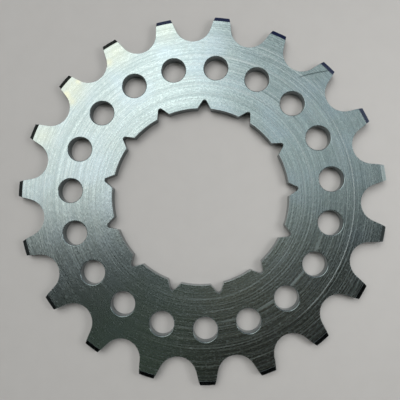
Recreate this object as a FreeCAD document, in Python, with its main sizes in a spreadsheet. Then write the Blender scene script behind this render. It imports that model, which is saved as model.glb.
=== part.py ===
import FreeCAD, Part
import math
import os
import Sketcher

# A flat rear hub sprocket for a bicycle chain, made from one piece of plated steel.
# Frame: +Z is the wheel axis, the underside lies on z = 0 and the bore is centred on the origin.
# A tooth, a lightening hole and a bore notch share the +X line, so the plate is the same turned over.

# Driving dimensions, in millimetres and degrees
driving_dimensions = [
    ("chain_pitch", "12.7", "from one chain roller to the next"),
    ("roller_diameter", "7.75", "the chain roller that sits in a tooth gap"),
    ("seat_clearance", "0.28", "extra radius of a gap's round seat over the roller"),
    ("tooth_count", "19", "teeth, with one lightening hole behind each"),
    ("flank_angle", "12.5", "slope of a tooth's flank to the tooth's middle line"),
    ("tip_height", "1.97", "tooth tips above the circle of the roller centres"),
    ("plate_thickness", "2.3", "from face to face"),
    ("bevel_run", "1.05", "tip bevel, along the radius"),
    ("bevel_depth", "0.5", "tip bevel, through the thickness, on each face"),
    ("hole_diameter", "5.3", "lightening hole"),
    ("hole_inset", "6", "hole centres inside the bottoms of the tooth gaps"),
    ("hole_edge_break", "0.15", "chamfer on both edges of a lightening hole"),
    ("bore_diameter", "38.84", "across the lands that sit on the hub"),
    ("notch_count", "13", "driving notches round the bore"),
    ("notch_depth", "1.98", "bottom of a notch outside the lands"),
    ("notch_flank_angle", "30", "slope of a notch's flank to the notch's middle line"),
    ("notch_bottom_radius", "0.5", "rounding at the bottom of a notch"),
]

# Sizes that follow from the driving ones
derived_dimensions = [
    ("tooth_half_angle", "=180 / tooth_count", "from a tooth's middle line to the next gap's"),
    ("pitch_radius", "=chain_pitch / (2 * sin(tooth_half_angle))", "circle of the roller centres"),
    ("root_radius", "=pitch_radius - roller_diameter / 2", "bottoms of the tooth gaps"),
    ("tip_radius", "=pitch_radius + tip_height", "tooth tips"),
    ("seat_radius", "=roller_diameter / 2 + seat_clearance", "round seat of a tooth gap"),
    ("hole_circle_radius", "=root_radius - hole_inset", "circle of the lightening holes' centres"),
    ("bore_radius", "=bore_diameter / 2", "lands that sit on the hub"),
]

doc = FreeCAD.newDocument("rear_hub_sprocket")
sheet = doc.addObject("Spreadsheet::Sheet", "Dimensions")
for row, (alias, content, meaning) in enumerate(driving_dimensions + derived_dimensions, start=1):
    sheet.set(f"A{row}", meaning)
    sheet.set(f"B{row}", content)
    sheet.setAlias(f"B{row}", alias)
doc.recompute()

body = doc.addObject("PartDesign::Body", "Sprocket")
body.Label = "sprocket"

# How a sketch's constraints number its own X axis, its origin and the points of a line or an arc
X_AXIS = -1
ORIGIN = (-1, 1)
START, END, CENTRE = 1, 2, 3


def value(formula):
    """A formula of named sizes as a number, to draw a sketch's first guess."""
    return float(body.evalExpression(formula))


def point(x, y):
    return FreeCAD.Vector(x, y, 0)


def origin_feature(role):
    """One of the body's own base planes or axes."""
    return next(item for item in body.Origin.OriginFeatures if item.Role == role)


def new_sketch(name, plane_role):
    sketch = body.newObject("Sketcher::SketchObject", name)
    sketch.AttachmentSupport = [(origin_feature(plane_role), "")]
    sketch.MapMode = "FlatFace"
    return sketch


def constrain(sketch, kind, *places):
    return sketch.addConstraint(Sketcher.Constraint(kind, *places))


def drive(sketch, name, kind, *places, formula):
    """A dimension of the sketch that follows a formula of named sizes."""
    amount = value(formula)
    if kind == "Angle":
        amount = math.radians(amount)
        formula = f"({formula}) * 1 deg"
    index = constrain(sketch, kind, *places, amount)
    sketch.renameConstraint(index, name)
    sketch.setExpression(f"Constraints.{name}", formula)


def straight_outline(sketch, corners):
    """A closed outline of straight lines, where line i runs from corner i to the next one."""
    ends = corners[1:] + corners[:1]
    lines = [
        sketch.addGeometry(Part.LineSegment(point(*corner), point(*end)))
        for corner, end in zip(corners, ends)
    ]
    for line, following in zip(lines, lines[1:] + lines[:1]):
        constrain(sketch, "Coincident", line, END, following, START)
    return lines


def slot_outline(name, centre, radius, slope, mouth):
    """A slot across the +X line, from formulas: a round bottom and two flanks that open to its mouth.

    centre and mouth are distances from the origin, and the slot opens from the one to the other.
    """
    sketch = new_sketch(name, "XY_Plane")
    centre_x, arc_r, mouth_x = value(centre), value(radius), value(mouth)
    angle = math.radians(value(slope))
    outward = 1 if mouth_x > centre_x else -1
    touch_x = centre_x - outward * arc_r * math.sin(angle)
    touch_y = outward * arc_r * math.cos(angle)
    mouth_y = touch_y + (mouth_x - touch_x) * math.tan(angle)

    circle = Part.Circle(point(centre_x, 0), FreeCAD.Vector(0, 0, 1), arc_r)
    bottom_angle = math.pi if outward > 0 else 0
    reach = math.pi / 2 - angle
    bottom = sketch.addGeometry(Part.ArcOfCircle(circle, bottom_angle - reach, bottom_angle + reach))
    flank_in = sketch.addGeometry(Part.LineSegment(point(mouth_x, mouth_y), point(touch_x, touch_y)))
    flank_out = sketch.addGeometry(Part.LineSegment(point(touch_x, -touch_y), point(mouth_x, -mouth_y)))
    mouth_line = sketch.addGeometry(Part.LineSegment(point(mouth_x, -mouth_y), point(mouth_x, mouth_y)))

    constrain(sketch, "Tangent", flank_in, END, bottom, START)
    constrain(sketch, "Tangent", bottom, END, flank_out, START)
    constrain(sketch, "Coincident", flank_out, END, mouth_line, START)
    constrain(sketch, "Coincident", mouth_line, END, flank_in, START)
    constrain(sketch, "PointOnObject", bottom, CENTRE, X_AXIS)
    constrain(sketch, "Symmetric", mouth_line, START, mouth_line, END, X_AXIS)
    drive(sketch, "bottom_radius", "Radius", bottom, formula=radius)
    drive(sketch, "bottom_centre", "DistanceX", *ORIGIN, bottom, CENTRE, formula=centre)
    drive(sketch, "mouth_reach", "DistanceX", *ORIGIN, mouth_line, START, formula=mouth)
    rising_flank = flank_out if outward > 0 else flank_in
    turn = f"{-outward} * ({slope})"
    drive(sketch, "flank_slope", "Angle", X_AXIS, START, rising_flank, START, formula=turn)
    return sketch


def cut_through(name, sketch):
    cut = body.newObject("PartDesign::Pocket", name)
    cut.Profile = sketch
    cut.Type = "ThroughAll"
    cut.Midplane = True
    return cut


def repeat_round(name, features, count):
    """The features, repeated evenly round the wheel axis."""
    pattern = body.newObject("PartDesign::PolarPattern", name)
    pattern.Originals = features
    pattern.Axis = (origin_feature("Z_Axis"), [""])
    pattern.Angle = 360
    pattern.setExpression("Occurrences", count)
    body.Tip = pattern


volumes = []


def finish_step():
    """Recompute, and keep the volume, so that a cut that removes nothing is noticed."""
    doc.recompute()
    volumes.append(body.Shape.Volume)


# The turned blank: half of its section, with a bevel at the rim on both faces
thickness = value("Dimensions.plate_thickness")
bore_r = value("Dimensions.bore_radius")
tip_r = value("Dimensions.tip_radius")
face_r = value("Dimensions.tip_radius - Dimensions.bevel_run")
bevel_depth = value("Dimensions.bevel_depth")
section = new_sketch("BlankSection", "XZ_Plane")
underside, lower_bevel, rim, upper_bevel, top, bore_wall = straight_outline(section, [
    (bore_r, 0),
    (face_r, 0),
    (tip_r, bevel_depth),
    (tip_r, thickness - bevel_depth),
    (face_r, thickness),
    (bore_r, thickness),
])
constrain(section, "PointOnObject", underside, START, X_AXIS)
constrain(section, "Horizontal", underside)
constrain(section, "Horizontal", top)
constrain(section, "Vertical", rim)
constrain(section, "Vertical", bore_wall)
drive(section, "bore_radius", "DistanceX", *ORIGIN, underside, START, formula="Dimensions.bore_radius")
drive(section, "tip_radius", "DistanceX", *ORIGIN, rim, START, formula="Dimensions.tip_radius")
drive(section, "thickness", "DistanceY", underside, START, top, END, formula="Dimensions.plate_thickness")
for side, bevel, inner, outer in (("lower", lower_bevel, START, END), ("upper", upper_bevel, END, START)):
    drive(section, f"{side}_run", "DistanceX", bevel, inner, bevel, outer, formula="Dimensions.bevel_run")
    drive(section, f"{side}_depth", "DistanceY", bevel, START, bevel, END, formula="Dimensions.bevel_depth")

blank = body.newObject("PartDesign::Revolution", "Blank")
blank.Profile = section
blank.ReferenceAxis = (origin_feature("Z_Axis"), [""])
blank.Angle = 360
finish_step()

# One tooth gap: a round seat for the roller, and straight flanks that open past the tips
gap_outline = slot_outline(
    "GapOutline",
    centre="Dimensions.root_radius + Dimensions.seat_radius",
    radius="Dimensions.seat_radius",
    slope="Dimensions.flank_angle + Dimensions.tooth_half_angle",
    mouth="Dimensions.tip_radius + Dimensions.seat_radius",
)
gap_outline.setExpression("AttachmentOffset.Rotation.Angle", "Dimensions.tooth_half_angle * 1 deg")
gap_cut = cut_through("GapCut", gap_outline)
finish_step()

# One lightening hole on a tooth's middle line: half of its section, with both edges broken
hole_r = value("Dimensions.hole_diameter / 2")
edge_break = value("Dimensions.hole_edge_break")
drill = new_sketch("DrillSection", "XZ_Plane")
drill.setExpression("AttachmentOffset.Base.x", "Dimensions.hole_circle_radius * 1 mm")
drill_axis, lower_mouth, lower_break, wall, upper_break, upper_mouth = straight_outline(drill, [
    (0, thickness),
    (0, 0),
    (hole_r + edge_break, 0),
    (hole_r, edge_break),
    (hole_r, thickness - edge_break),
    (hole_r + edge_break, thickness),
])
constrain(drill, "Coincident", drill_axis, END, *ORIGIN)
constrain(drill, "Vertical", drill_axis)
constrain(drill, "Horizontal", lower_mouth)
constrain(drill, "Vertical", wall)
constrain(drill, "Horizontal", upper_mouth)
axis_ends = (drill_axis, END, drill_axis, START)
drive(drill, "thickness", "DistanceY", *axis_ends, formula="Dimensions.plate_thickness")
drive(drill, "hole_radius", "DistanceX", *ORIGIN, wall, START, formula="Dimensions.hole_diameter / 2")
for side, edge, inner, outer in (("lower", lower_break, END, START), ("upper", upper_break, START, END)):
    drive(drill, f"{side}_run", "DistanceX", edge, inner, edge, outer, formula="Dimensions.hole_edge_break")
    drive(drill, f"{side}_rise", "DistanceY", edge, START, edge, END, formula="Dimensions.hole_edge_break")

hole_cut = body.newObject("PartDesign::Groove", "HoleCut")
hole_cut.Profile = drill
hole_cut.ReferenceAxis = (drill, ["V_Axis"])
hole_cut.Angle = 360
finish_step()

# The gap and the hole repeat with the teeth
repeat_round("Teeth", [gap_cut, hole_cut], "Dimensions.tooth_count")
finish_step()

# One driving notch in the bore: straight flanks that run into a rounded bottom
notch_outline = slot_outline(
    "NotchOutline",
    centre="Dimensions.bore_radius + Dimensions.notch_depth - Dimensions.notch_bottom_radius",
    radius="Dimensions.notch_bottom_radius",
    slope="Dimensions.notch_flank_angle",
    mouth="Dimensions.bore_radius - Dimensions.notch_depth",
)
notch_cut = cut_through("NotchCut", notch_outline)
finish_step()
repeat_round("Notches", [notch_cut], "Dimensions.notch_count")
finish_step()

# Nothing failed, every cut took metal away, and the plate is one sound solid
for item in doc.Objects:
    if "Invalid" in item.State or "Error" in item.State:
        raise RuntimeError(f"{item.Label} failed: {item.State}")
print("volume after each step, cubic mm:", [round(volume, 1) for volume in volumes])
if any(after >= before for before, after in zip(volumes, volumes[1:])):
    raise RuntimeError("a cut took no metal away")
plate = body.Shape
if plate.isNull() or not plate.isValid() or len(plate.Solids) != 1:
    raise RuntimeError("the sprocket isn't one sound solid")

os.makedirs("parts", exist_ok=True)
plate.exportStep(f"parts/{body.Label}.step")
for alias, _, meaning in derived_dimensions:
    print(f"{alias}: {value('Dimensions.' + alias):.3f}, {meaning}")
print("sprocket box:", plate.BoundBox)
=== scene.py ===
# %% [markdown]
# # A zinc plated rear hub sprocket
#
# This lesson dresses one flat bicycle sprocket: nineteen teeth, a ring of lightening holes and a notched
# bore, all cut from a single plate. The plate's solid is finished and comes in as a fixed frame, so the work
# here is the surface: small rounded edges, the turned and plated steel with its scratches, and a light that
# shows them.

# %% Load the plate
import bpy
import math
from mathutils import Matrix, Vector


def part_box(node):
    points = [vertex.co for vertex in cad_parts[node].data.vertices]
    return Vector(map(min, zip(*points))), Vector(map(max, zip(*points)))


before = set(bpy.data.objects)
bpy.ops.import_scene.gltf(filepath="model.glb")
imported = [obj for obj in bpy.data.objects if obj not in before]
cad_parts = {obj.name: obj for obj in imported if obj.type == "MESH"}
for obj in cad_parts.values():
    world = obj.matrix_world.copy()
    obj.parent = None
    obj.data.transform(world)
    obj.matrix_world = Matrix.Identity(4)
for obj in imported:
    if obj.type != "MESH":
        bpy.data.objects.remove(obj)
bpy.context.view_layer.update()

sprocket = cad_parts["sprocket"]
MM = 0.001
plate_low, plate_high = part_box("sprocket")
plate_top = plate_high.z
print("plate size, mm:", [round(side / MM, 2) for side in plate_high - plate_low])

# %% [markdown]
# ## The camera
#
# The picture looks almost straight down from a hand's width above the plate. So close, the far walls of the
# bore and of the holes come into view, which a distant camera would hide. A lens length, a place and a point
# to look at fix such a view, and one more angle turns the picture: the direction on the plate that points up
# in it. Writing the camera from those four keeps every number readable, where three Euler angles would
# not be.

# %% Camera
LENS_MM = 33.3
SENSOR_MM = 36.0
NEAREST_SEEN = 1 * MM
camera_place = Vector((4.57, 4.14, 82.90)) * MM
looks_at = Vector((0.88, 0.27, plate_top / MM)) * MM
picture_up_angle = math.radians(-163.39)

forward = (looks_at - camera_place).normalized()
up_hint = Vector((math.cos(picture_up_angle), math.sin(picture_up_angle), 0))
picture_right = forward.cross(up_hint).normalized()
picture_up = picture_right.cross(forward)

camera = bpy.data.objects.new("camera", bpy.data.cameras.new("camera"))
bpy.context.scene.collection.objects.link(camera)
camera.data.lens = LENS_MM
camera.data.sensor_width = SENSOR_MM
camera.data.clip_start = NEAREST_SEEN
axes = Matrix((picture_right, picture_up, -forward)).transposed()
camera.matrix_world = Matrix.Translation(camera_place) @ axes.to_4x4()
bpy.context.scene.camera = camera
print("camera to plate, mm:", round((looks_at - camera_place).length / MM, 1))

# %% [markdown]
# ## Nodes and colours
#
# Materials are graphs of nodes. One function adds a node, sets its properties and fills its inputs, either
# with a plain value or with the output of another node. Colours are written as the hex values that a colour
# picker shows, and one function turns them into the linear numbers that the renderer counts with. Both the
# scratches and the room ask how far round something lies, so the few nodes for that angle are kept here too.

# %% Helpers for every material
def linear(hex_colour):
    """The linear colour of an sRGB hex value such as '808080'."""
    channels = [int(hex_colour[i:i + 2], 16) / 255 for i in (0, 2, 4)]
    return [c / 12.92 if c <= 0.04045 else ((c + 0.055) / 1.055) ** 2.4 for c in channels] + [1.0]


def add_node(tree, kind, inputs, output=0, **settings):
    """Add a node with its properties and inputs, values or other nodes' outputs, and return an output."""
    node = tree.nodes.new(kind)
    for name, setting in settings.items():
        setattr(node, name, setting)
    for socket, source in inputs.items():
        if isinstance(source, bpy.types.NodeSocket):
            tree.links.new(source, node.inputs[socket])
        else:
            node.inputs[socket].default_value = source
    return node.outputs[output] if node.outputs else None


def empty_tree(owner):
    """The node tree of a material or world, cleared."""
    owner.use_nodes = True
    owner.node_tree.nodes.clear()
    return owner.node_tree


def angle_from(tree, direction, forwards, sideways):
    """The signed angle from the unit vector forwards, turning towards sideways, to a direction."""
    ahead, aside = [
        add_node(tree, "ShaderNodeVectorMath", {0: direction, 1: way}, "Value", operation="DOT_PRODUCT")
        for way in (forwards, sideways)
    ]
    return add_node(tree, "ShaderNodeMath", {0: aside, 1: ahead}, operation="ARCTAN2")


print("middle grey in linear light:", round(linear("808080")[0], 3))

# %% [markdown]
# ## The edges
#
# The plate was cut, tumbled and plated, so no edge is perfectly sharp: each one catches a thin line of
# light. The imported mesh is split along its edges, so it is welded first, and its flat faces are merged into
# whole ones. A bevel modifier then rounds every real edge and leaves the faces alone, and weighted normals
# keep them flat in the shading. Modifiers suit this better than editing the mesh, because the plate's own
# vertices stay as they are.

# %% Rounded edges
JOIN_DISTANCE = 0.001 * MM
EDGE_ROUNDING = 0.05 * MM
ROUNDING_SEGMENTS = 2
FLAT_ANGLE = math.radians(0.3)
SHARPEST_SMOOTH_ANGLE = math.radians(18)

weld = sprocket.modifiers.new("joined_corners", "WELD")
weld.merge_threshold = JOIN_DISTANCE
flats = sprocket.modifiers.new("whole_flat_faces", "DECIMATE")
flats.decimate_type = "DISSOLVE"
flats.angle_limit = FLAT_ANGLE
rounding = sprocket.modifiers.new("rounded_edges", "BEVEL")
rounding.width = EDGE_ROUNDING
rounding.segments = ROUNDING_SEGMENTS
rounding.limit_method = "ANGLE"
rounding.angle_limit = SHARPEST_SMOOTH_ANGLE
rounding.use_clamp_overlap = False
shading = sprocket.modifiers.new("flat_faces_stay_flat", "WEIGHTED_NORMAL")
shading.mode = "FACE_AREA_WITH_ANGLE"
for face in sprocket.data.polygons:
    face.use_smooth = True
finished = sprocket.evaluated_get(bpy.context.evaluated_depsgraph_get())
print("faces after rounding:", len(finished.to_mesh().polygons))
finished.to_mesh_clear()

# %% [markdown]
# ## Where a point lies on the plate
#
# Nearly every mark on this plate follows its axis: rings from the lathe, scratches from the chain and the
# hub. So the material counts in millimetres from the axis and in headings round it, not in flat coordinates.
# The surface normal tells three kinds of surface apart: the two flat faces, the cut walls that stand
# upright, and the sloped bevels in between.

# %% Plate coordinates
# upright part of the surface normal at which a surface starts to count as flat or as a wall, and fully does
FLAT_LEVEL = (0.95, 0.99)
WALL_LEVEL = (0.6, 0.3)


class PlatePlace:
    """Outputs of a node tree that say where a shaded point lies on the plate."""

    def __init__(self, tree):
        self.tree = tree
        place = add_node(tree, "ShaderNodeTexCoord", {}, "Object")
        self.mm = add_node(tree, "ShaderNodeVectorMath", {0: place, "Scale": 1 / MM}, operation="SCALE")
        across = add_node(tree, "ShaderNodeVectorMath", {0: self.mm, 1: (1, 1, 0)}, operation="MULTIPLY")
        self.radius = add_node(tree, "ShaderNodeVectorMath", {0: across}, "Value", operation="LENGTH")
        self.heading = add_node(tree, "ShaderNodeVectorMath", {0: across}, operation="NORMALIZE")
        normal = add_node(tree, "ShaderNodeNewGeometry", {}, "True Normal")
        tilt = add_node(tree, "ShaderNodeSeparateXYZ", {0: normal}, "Z")
        level = add_node(tree, "ShaderNodeMath", {0: tilt}, operation="ABSOLUTE")
        self.flat, self.sloped, self.wall = [
            add_node(tree, "ShaderNodeMapRange", {"Value": level, "From Min": none, "From Max": full})
            for none, full in (FLAT_LEVEL, FLAT_LEVEL[::-1], WALL_LEVEL)
        ]

    def distance_from(self, radius, angle):
        """Millimetres from a place on the upper face, given by its radius and its angle in degrees."""
        angle = math.radians(angle)
        middle = (radius * math.cos(angle), radius * math.sin(angle), plate_top / MM)
        return add_node(self.tree, "ShaderNodeVectorMath", {0: self.mm, 1: middle}, "Value",
                        operation="DISTANCE")


print("steepest flat face, degrees:", round(math.degrees(math.acos(FLAT_LEVEL[0]))))

# %% [markdown]
# ## Turned rings
#
# The faces were skimmed on a lathe and rubbed with a fine abrasive while they turned, so they carry rings
# round the axis that start and stop. A wave texture would give endless, even rings. A noise that is
# stretched a long way along the heading and squeezed along the radius gives arcs of uneven length and depth,
# and the same noise cut off below its peaks gives the few deeper lines and specks that the abrasive tore.
# One part of the plate was wiped smoother than the rest, and there both fade. The finest real rings are some
# hundredths of a millimetre apart; these are drawn at two to three tenths, the least that shows in the
# picture.

# %% Turned rings
MIDDLE_RADIUS_MM = 29.0
RINGS = [
    # width across the rings and length along them in millimetres, share of the relief
    (0.33, 45.0, 0.9),
    (0.30, 8.0, 0.5),
    (0.26, 0.8, 0.6),
]


def ring_noise(tree, place, width, length):
    """Noise in arcs round the axis, this wide and, at the middle of the plate, this long in millimetres."""
    turn = MIDDLE_RADIUS_MM / length
    ring = add_node(tree, "ShaderNodeMath", {0: place.radius, 1: 1 / width}, operation="MULTIPLY")
    lift = add_node(tree, "ShaderNodeCombineXYZ", {"Z": ring})
    spot = add_node(tree, "ShaderNodeVectorMath", {0: place.heading, 1: (turn, turn, 0), 2: lift},
                    operation="MULTIPLY_ADD")
    return add_node(tree, "ShaderNodeTexNoise", {"Vector": spot, "Scale": 1.0, "Detail": 0.0}, "Fac")


def turned_rings(tree, place):
    """A height between about 0 and 1 that follows the rings of the lathe."""
    height = 0.0
    for width, length, share in RINGS:
        part = share / sum(ring[2] for ring in RINGS)
        noise = ring_noise(tree, place, width, length)
        height = add_node(tree, "ShaderNodeMath", {0: noise, 1: part, 2: height}, operation="MULTIPLY_ADD")
    return height


print("ring widths, mm:", [ring[0] for ring in RINGS])

# %% Torn lines
TORN_LINES = [
    # width and length in millimetres, strength
    (0.20, 60.0, 0.22),
    (0.20, 8.0, 0.10),
    (0.25, 0.5, 0.24),
]
# noise at which a line starts, and is full
TORN_PEAKS = (0.56, 0.80)


def torn_lines(tree, place):
    """A mask of sparse thin lines and specks along the rings."""
    mask = 0.0
    for width, length, strength in TORN_LINES:
        peaks = add_node(tree, "ShaderNodeMapRange", {
            "Value": ring_noise(tree, place, width, length),
            "From Min": TORN_PEAKS[0],
            "From Max": TORN_PEAKS[1],
            "To Max": strength,
        })
        mask = add_node(tree, "ShaderNodeMath", {0: mask, 1: peaks}, operation="ADD")
    return mask


print("torn line lengths, mm:", [line[1] for line in TORN_LINES])

# %% Wiped patch
# radius in mm, angle in degrees, reach in mm, share of the lines that is gone in the middle
WIPED_PATCH = (31.0, -21.0, 20.0, 0.75)


def unwiped_share(tree, place):
    """What is left of the rings and torn lines: all of them, and less where the plate was wiped smoother."""
    radius, angle, reach, gone = WIPED_PATCH
    return add_node(tree, "ShaderNodeMapRange", {
        "Value": place.distance_from(radius, angle),
        "From Min": 0.0,
        "From Max": reach,
        "To Min": 1 - gone,
        "To Max": 1.0,
    }, interpolation_type="SMOOTHSTEP")


print("wiped patch, mm across:", 2 * WIPED_PATCH[2])

# %% [markdown]
# ## Scratches
#
# A sprocket slides on its hub and rubs against its neighbours, which leaves bright arcs, a few grooves and a
# slanted nick. They could be thin strips of mesh, but a scratch has no height to see, so each one is drawn by
# the material, from its two ends in polar coordinates. A bright scratch is rough metal whose torn sides
# scatter light from everywhere, so it glints where the plate is dark and fades where the plate is bright, as
# a real one does; its near-white colour adds a painted glint. The grooves are drawn as dark arcs, a painted
# shade, and the nick is darker too.

# %% Scratches
SCRATCHES = [
    # radius in mm and angle in degrees of one end, the same of the other end, half width in mm, strength
    ((33.3, 146), (33.3, 51), 0.10, 1.0),
    ((33.3, 170), (33.3, 144), 0.12, 0.5),
    ((34.2, 178), (35.1, 141), 0.12, 0.5),
    ((35.8, 153), (35.1, 143), 0.12, 0.5),
    ((27.5, 92), (27.4, 20), 0.40, 0.25),
    ((27.3, 70), (27.2, 44), 0.14, 0.30),
    ((25.0, 36), (25.0, 18), 0.12, 0.35),
    ((31.7, 29), (32.0, 43), 0.12, 0.25),
    ((26.2, 59), (26.6, 47), 0.12, 0.25),
    ((35.7, 176), (35.6, 163), 0.11, 0.6),
    ((31.4, 194), (31.4, 172), 0.11, 0.6),
    ((28.6, 192), (28.6, 174), 0.10, 0.5),
    ((25.0, 186), (25.0, 146), 0.10, 0.5),
    ((27.5, 169), (27.4, 150), 0.12, 0.5),
    ((32.3, 164), (32.2, 116), 0.10, 0.45),
    ((24.3, 152), (24.3, 108), 0.10, 0.45),
]
# dark arcs whose darker colour is painted shade in their grooves, and a darker nick
NICK_AND_PAINTED_GROOVE_SHADE = [
    # the same columns as the scratches; the first row is the nick
    ((33.84, 157.1), (39.85, 150.4), 0.20, 0.8),
    ((31.0, 188), (31.0, 146), 0.12, 0.40),
    ((26.9, 170), (26.9, 143), 0.14, 0.45),
    ((32.9, 168), (32.9, 106), 0.12, 0.40),
    ((35.2, 120), (35.2, 104), 0.12, 0.40),
    ((30.6, 144), (30.6, 110), 0.11, 0.35),
    ((24.7, 174), (24.6, 126), 0.11, 0.35),
]
# shares of a scratch's half width and half length, from its middle, that have its full strength
FULL_WIDTH_SHARE = 0.3
FULL_LENGTH_SHARE = 0.7


def scratch_marks(tree, place, scratches):
    """A mask that is strong on the scratches and soft at their sides and ends."""
    mask = 0.0
    for (start_radius, start_angle), (end_radius, end_angle), half_width, strength in scratches:
        middle = math.radians((start_angle + end_angle) / 2)
        half_span = math.radians(abs(end_angle - start_angle) / 2)
        drift = (end_radius - start_radius) / math.radians(end_angle - start_angle)
        half_width *= math.hypot(1, drift / start_radius)
        forwards = (math.cos(middle), math.sin(middle), 0)
        sideways = (-math.sin(middle), math.cos(middle), 0)
        angle = angle_from(tree, place.heading, forwards, sideways)
        line = add_node(tree, "ShaderNodeMath", {0: angle, 1: drift, 2: (start_radius + end_radius) / 2},
                        operation="MULTIPLY_ADD")
        off_line = add_node(tree, "ShaderNodeMath", {0: place.radius, 1: line}, operation="SUBTRACT")
        distance = add_node(tree, "ShaderNodeMath", {0: off_line}, operation="ABSOLUTE")
        turn = add_node(tree, "ShaderNodeMath", {0: angle}, operation="ABSOLUTE")
        beside = add_node(tree, "ShaderNodeMapRange", {
            "Value": distance,
            "From Min": half_width,
            "From Max": half_width * FULL_WIDTH_SHARE,
        }, interpolation_type="SMOOTHSTEP")
        along = add_node(tree, "ShaderNodeMapRange", {
            "Value": turn,
            "From Min": half_span,
            "From Max": half_span * FULL_LENGTH_SHARE,
            "To Max": strength,
        })
        mask = add_node(tree, "ShaderNodeMath", {0: beside, 1: along, 2: mask}, operation="MULTIPLY_ADD")
    return mask


print("bright scratches and dark marks:", len(SCRATCHES), len(NICK_AND_PAINTED_GROOVE_SHADE))

# %% [markdown]
# ## Zinc plated steel: colour
#
# The steel is plated with zinc and dipped in a clear passivate. Zinc is a slightly blue green metal, and the
# dip leaves faint cool clouds on it and straw coloured stains where it dried last, on a few teeth. A picture
# wrapped over the plate would need that picture, so each of these is a mask from noise or from a few named
# places, and the tints are laid over the zinc one after the other. The ring bottoms, the dark arcs and the
# cut walls are darker, which is painted shade, and the nick is darker too. The torn lines are near white, a
# painted glint on top of their rough metal.

# %% Stains of the dip
STAINS = [
    # radius in mm, angle in degrees, reach in mm, strength of the warm tint
    (38.0, -113.7, 6.0, 0.50),
    (38.0, -132.6, 6.0, 0.45),
    (38.0, -94.7, 5.0, 0.35),
    (38.5, -151.6, 5.0, 0.30),
    (37.7, -110.4, 1.5, 0.8),
    (35.8, -109.8, 1.6, 0.5),
    (37.6, -116.9, 1.2, 0.5),
    (36.4, -129.0, 1.6, 0.5),
]


def warm_stains(tree, place):
    """A mask of the places where the dip dried yellow."""
    mask = 0.0
    for radius, angle, reach, strength in STAINS:
        spot = add_node(tree, "ShaderNodeMapRange", {
            "Value": place.distance_from(radius, angle),
            "From Min": reach,
            "From Max": 0.0,
            "To Max": strength,
        }, interpolation_type="SMOOTHSTEP")
        mask = add_node(tree, "ShaderNodeMath", {0: mask, 1: spot}, operation="ADD", use_clamp=True)
    return mask


print("stains:", len(STAINS))

# %% Colour of the zinc
ZINC = "CBDBD9"
# a darker colour for the ring bottoms: painted shade in the grooves
ZINC_GROOVE_PAINTED_SHADE = "A6B6B6"
ZINC_DARK_GRAIN = "B0C0C0"
ZINC_COOL = "BDCFD8"
ZINC_WARM = "D6D8BF"
# a near-white colour for the torn lines and scratches: a painted glint on top of their roughness
ZINC_TORN_PAINTED_GLINT = "F2FCFC"
# a dark colour for the nick and the arcs: painted shade in the grooves
ZINC_NICK_AND_PAINTED_SHADE = "697777"
# a darker colour for the cut walls: painted shade in the holes and the bore
ZINC_WALL_PAINTED_SHADE = "7A8486"
# Real plating grain is some hundredths of a millimetre wide; this is the least that shows. A range is the
# noise at which the grain or a cloud starts, and is full.
GRAIN_MM = 0.24
GRAIN_RANGE = (0.7, 0.3)
CLOUD_MM = 7.0
CLOUD_DETAIL = 2.0
CLOUD_RANGE = (0.45, 0.70)
CLOUD_STRENGTH = 0.5


def zinc_colour(tree, place, groove, torn):
    """The zinc with every tint laid over it."""
    grain = add_node(tree, "ShaderNodeTexNoise",
                     {"Vector": place.mm, "Scale": 1 / GRAIN_MM, "Detail": 0.0}, "Fac")
    dark = add_node(tree, "ShaderNodeMapRange",
                    {"Value": grain, "From Min": GRAIN_RANGE[0], "From Max": GRAIN_RANGE[1]})
    clouds = add_node(tree, "ShaderNodeTexNoise",
                      {"Vector": place.mm, "Scale": 1 / CLOUD_MM, "Detail": CLOUD_DETAIL}, "Fac")
    cool = add_node(tree, "ShaderNodeMapRange", {
        "Value": clouds,
        "From Min": CLOUD_RANGE[0],
        "From Max": CLOUD_RANGE[1],
        "To Max": CLOUD_STRENGTH,
    })
    colour = linear(ZINC)
    for mask, tint in (
        # the ring bottoms darker: painted shade
        (groove, ZINC_GROOVE_PAINTED_SHADE),
        (dark, ZINC_DARK_GRAIN),
        (cool, ZINC_COOL),
        (warm_stains(tree, place), ZINC_WARM),
        # the torn lines and scratches near white: painted glint
        (torn, ZINC_TORN_PAINTED_GLINT),
        # the dark arcs and the nick: painted shade
        (scratch_marks(tree, place, NICK_AND_PAINTED_GROOVE_SHADE), ZINC_NICK_AND_PAINTED_SHADE),
        # the cut walls darker: painted shade
        (place.wall, ZINC_WALL_PAINTED_SHADE),
    ):
        colour = add_node(tree, "ShaderNodeMix", {"Factor": mask, "A": colour, "B": linear(tint)}, "Result",
                          data_type="RGBA")
    return colour


print("zinc in linear light:", [round(c, 2) for c in linear(ZINC)[:3]])

# %% [markdown]
# ## Zinc plated steel: gloss and relief
#
# The rubbed faces blur what they mirror, a little more in the ring bottoms, and the torn lines scatter it.
# The cut walls and above all the bevels at the tooth tips, turned last, are smoother: a bevel is a small
# mirror that shows the dark of the room. The rings are far too shallow for mesh, so a bump map tilts the
# light on them. The walls get their own bump of upright lines, left by the cutter.

# %% Gloss of the zinc
FLAT_ROUGHNESS = 0.22
GROOVE_ROUGHNESS = 0.25
BEVEL_ROUGHNESS = 0.12
WALL_ROUGHNESS = 0.15
TORN_ROUGHNESS = 0.55


def zinc_roughness(tree, place, groove, torn):
    """Roughness of the faces, changed where the surface was made another way."""
    roughness = FLAT_ROUGHNESS
    for mask, change in (
        (groove, GROOVE_ROUGHNESS),
        (place.sloped, BEVEL_ROUGHNESS),
        (place.wall, WALL_ROUGHNESS),
        (torn, TORN_ROUGHNESS),
    ):
        roughness = add_node(tree, "ShaderNodeMix", {"Factor": mask, "A": roughness, "B": change}, "Result")
    return roughness


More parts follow.
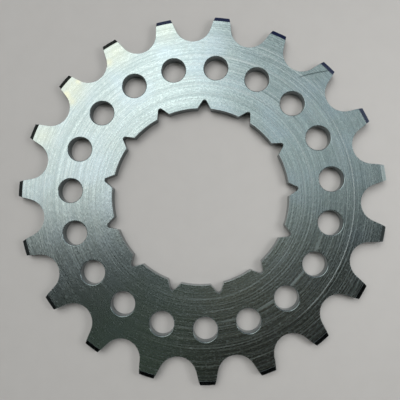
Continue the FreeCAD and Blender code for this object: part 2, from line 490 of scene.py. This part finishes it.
print("roughness of faces, bevels and walls:", FLAT_ROUGHNESS, BEVEL_ROUGHNESS, WALL_ROUGHNESS)

# %% Relief of the zinc
# The rings are drawn deeper than real ones, as they are drawn wider.
RING_DEPTH_MM = 0.035
CUT_DEPTH_MM = 0.004
CUT_LINE_MM = 0.35
CUT_LENGTH_MM = 3.0
CUT_DETAIL = 1.0


def zinc_normal(tree, place, rings, unwiped):
    """Rings on the flat faces and upright cutter lines on the walls, as a bumped normal."""
    full_depth = add_node(tree, "ShaderNodeMath", {0: place.flat, 1: RING_DEPTH_MM * MM},
                          operation="MULTIPLY")
    ring_depth = add_node(tree, "ShaderNodeMath", {0: full_depth, 1: unwiped}, operation="MULTIPLY")
    ring_bump = add_node(tree, "ShaderNodeBump", {"Distance": ring_depth, "Height": rings})
    stretch = (1 / CUT_LINE_MM, 1 / CUT_LINE_MM, 1 / CUT_LENGTH_MM)
    upright = add_node(tree, "ShaderNodeVectorMath", {0: place.mm, 1: stretch}, operation="MULTIPLY")
    cuts = add_node(tree, "ShaderNodeTexNoise",
                    {"Vector": upright, "Scale": 1.0, "Detail": CUT_DETAIL}, "Fac")
    cut_depth = add_node(tree, "ShaderNodeMath", {0: place.wall, 1: CUT_DEPTH_MM * MM}, operation="MULTIPLY")
    return add_node(tree, "ShaderNodeBump", {"Distance": cut_depth, "Height": cuts, "Normal": ring_bump})


print("ring depth, mm:", RING_DEPTH_MM)

# %% Zinc plated steel
# height of the rings at which a ring bottom starts, and is full
GROOVE_RANGE = (0.60, 0.40)


def zinc_plated_steel():
    """Turned, rubbed and zinc plated steel: a soft metal mirror with fine rings and bright torn lines."""
    material = bpy.data.materials.new("zinc_plated_steel_turned")
    tree = empty_tree(material)
    place = PlatePlace(tree)
    rings = turned_rings(tree, place)
    groove = add_node(tree, "ShaderNodeMapRange",
                      {"Value": rings, "From Min": GROOVE_RANGE[0], "From Max": GROOVE_RANGE[1]})
    unwiped = unwiped_share(tree, place)
    lines = add_node(tree, "ShaderNodeMath", {0: torn_lines(tree, place), 1: unwiped}, operation="MULTIPLY")
    scratches = scratch_marks(tree, place, SCRATCHES)
    marks = add_node(tree, "ShaderNodeMath", {0: lines, 1: scratches}, operation="ADD", use_clamp=True)
    torn = add_node(tree, "ShaderNodeMath", {0: marks, 1: place.flat}, operation="MULTIPLY")
    surface = add_node(tree, "ShaderNodeBsdfPrincipled", {
        "Base Color": zinc_colour(tree, place, groove, torn),
        "Metallic": 1.0,
        "Roughness": zinc_roughness(tree, place, groove, torn),
        "Normal": zinc_normal(tree, place, rings, unwiped),
    })
    add_node(tree, "ShaderNodeOutputMaterial", {"Surface": surface})
    return material


sprocket.data.materials.clear()
sprocket.data.materials.append(zinc_plated_steel())
print("plate material:", sprocket.data.materials[0].name)

# %% [markdown]
# ## The floor
#
# The plate lies on a plain pale board with a matt coat of paint. One large square does for it, because the
# soft lamps of a later step shade it by themselves. A faint mottle keeps the paint from looking like empty
# space.

# %% Floor
FLOOR_SIDE = 4.0
BOARD = "C6C4C1"
BOARD_MOTTLE = "C1BFBC"
BOARD_ROUGHNESS = 0.8
MOTTLE_MM = 4.0
MOTTLE_DETAIL = 2.0


def painted_board():
    """Fibre board with a matt coat of paint: no gloss to speak of, and a mottle one only just sees."""
    material = bpy.data.materials.new("matt_painted_board")
    tree = empty_tree(material)
    place = add_node(tree, "ShaderNodeTexCoord", {}, "Object")
    mottle = add_node(tree, "ShaderNodeTexNoise",
                      {"Vector": place, "Scale": 1 / (MOTTLE_MM * MM), "Detail": MOTTLE_DETAIL}, "Fac")
    colour = add_node(tree, "ShaderNodeMix",
                      {"Factor": mottle, "A": linear(BOARD), "B": linear(BOARD_MOTTLE)}, "Result",
                      data_type="RGBA")
    surface = add_node(tree, "ShaderNodeBsdfPrincipled", {"Base Color": colour, "Roughness": BOARD_ROUGHNESS})
    add_node(tree, "ShaderNodeOutputMaterial", {"Surface": surface})
    return material


floor_mesh = bpy.data.meshes.new("floor")
half = FLOOR_SIDE / 2
corners = [(-half, -half, 0), (half, -half, 0), (half, half, 0), (-half, half, 0)]
floor_mesh.from_pydata(corners, [], [(0, 1, 2, 3)])
floor = bpy.data.objects.new("floor", floor_mesh)
floor.location.z = plate_low.z
floor_mesh.materials.append(painted_board())
bpy.context.scene.collection.objects.link(floor)
print("floor side, m:", FLOOR_SIDE)

# %% [markdown]
# ## The room
#
# A metal plate has hardly a colour of its own: it shows the room. From the camera, the plate's flat face
# mirrors what stands high above it, and the bevels mirror what stands low behind each tooth. So the world is
# a dim room with soft panels in it, each given by its bearing in the picture and its height: one bright
# window, a pale wall beside it, two lamps, and dim walls and cloths. An image of a room would do the same,
# but panels can be moved one at a time. Two strips of light run all round, at heights that neither the face
# nor the bevels mirror from here: they are for the views from the side.

# %% Directions in the picture
def picture_direction(bearing, elevation):
    """A direction from the plate: bearing anticlockwise from the picture's right, and elevation."""
    bearing, elevation = math.radians(bearing), math.radians(elevation)
    right = Vector((picture_right.x, picture_right.y, 0)).normalized()
    up = Vector((-right.y, right.x, 0))
    level = right * math.cos(bearing) + up * math.sin(bearing)
    return level * math.cos(elevation) + Vector((0, 0, math.sin(elevation)))


print("picture right on the plate:", [round(part, 2) for part in picture_direction(0, 0)])

# %% Room
# a half width past 180 degrees takes in every bearing, and an upper elevation past 90 reaches overhead
ALL_ROUND = 200
PANELS = [
    # name, bearing and half width, lower and upper elevation, soft edge, all in degrees, brightness, colour
    ("window", 134, 44, 40, 79, 14, 1.50, "FCFBF9"),
    ("pale_wall", 62, 50, 54, 120, 46, 0.69, "EEF8FB"),
    ("side_lamp", 15, 9, 38, 50, 6, 2.5, "FFFFFF"),
    ("ceiling", 335, 80, 75, 95, 10, 0.135, "FFF4D8"),
    ("far_lamp", 11, 7, 9, 18, 5, 0.60, "FFFFFF"),
    ("lamp_glow", 16, 34, 4, 24, 20, 0.07, "FFFFFF"),
    ("blue_cloth", 62, 45, 3, 17, 8, 0.085, "8A95FF"),
    ("left_wall", 150, 60, -10, 24, 30, 0.024, "FFFFFF"),
    ("brown_curtain", 300, 70, 40, 95, 24, 0.003, "FFB070"),
    ("green_curtain", 237, 20, 36, 95, 20, 0.085, "C4E0C0"),
    ("high_strip", 0, ALL_ROUND, 25, 36, 6, 0.45, "FFFFFF"),
    ("low_strip", 0, ALL_ROUND, -30, 3, 9, 0.6, "FFFFFF"),
]
DIM_ROOM = (0.001, 0.001, 0.001)

world = bpy.data.worlds.new("room_with_one_window")
bpy.context.scene.world = world
tree = empty_tree(world)
direction = add_node(tree, "ShaderNodeTexCoord", {}, "Generated")
rise = add_node(tree, "ShaderNodeSeparateXYZ", {0: direction}, "Z")
elevation = add_node(tree, "ShaderNodeMath", {0: rise}, operation="ARCSINE")
glow = DIM_ROOM
for name, bearing, half_width, low, high, soft, level, colour in PANELS:
    turn = angle_from(tree, direction, picture_direction(bearing, 0), picture_direction(bearing + 90, 0))
    turned = add_node(tree, "ShaderNodeMath", {0: turn}, operation="ABSOLUTE")
    mask = level
    for angle, edge, side in ((turned, half_width, -1), (elevation, low, 1), (elevation, high, -1)):
        inside = add_node(tree, "ShaderNodeMapRange", {
            "Value": angle,
            "From Min": math.radians(edge - side * soft / 2),
            "From Max": math.radians(edge + side * soft / 2),
        }, interpolation_type="SMOOTHSTEP")
        mask = add_node(tree, "ShaderNodeMath", {0: inside, 1: mask}, operation="MULTIPLY")
    glow = add_node(tree, "ShaderNodeVectorMath", {0: mask, 1: linear(colour)[:3], 2: glow},
                    operation="MULTIPLY_ADD", label=name)
background = add_node(tree, "ShaderNodeBackground", {"Color": glow, "Strength": 1.0})
add_node(tree, "ShaderNodeOutputWorld", {"Surface": background})
print("panels of light:", [panel[0] for panel in PANELS])

# %% [markdown]
# ## The lamps
#
# The brightness of the room is set by what the metal should mirror, and so dim a room leaves the board grey.
# Two soft lamps bring the board up to about the colour it is painted: a large one from the window's side,
# which also shades the holes, and a small near one on the right, whose light fades across the board to the
# left. A photographer would hide them from the metal with flags. Here the lamps are left out of glossy rays,
# so the plate mirrors only the room.

# %% Lamps
LAMPS = [
    # name, bearing and elevation in degrees, distance and side in millimetres, power in watts
    ("window_light", 112, 62, 600, 400, 1.35),
    ("side_light", 5, 50, 130, 50, 0.042),
]
for name, bearing, elevation, distance, side, watts in LAMPS:
    lamp = bpy.data.objects.new(name, bpy.data.lights.new(name, "AREA"))
    lamp.data.size = side * MM
    lamp.data.energy = watts
    towards = picture_direction(bearing, elevation)
    lamp.location = towards * distance * MM
    lamp.rotation_euler = towards.to_track_quat("Z", "Y").to_euler()
    lamp.visible_glossy = False
    lamp.visible_camera = False
    bpy.context.scene.collection.objects.link(lamp)
print("lamps:", [row[0] for row in LAMPS])

# %% [markdown]
# ## Finish
#
# The plain Standard view shows colours as they are written.

# %% Finish
bpy.context.scene.view_settings.view_transform = "Standard"
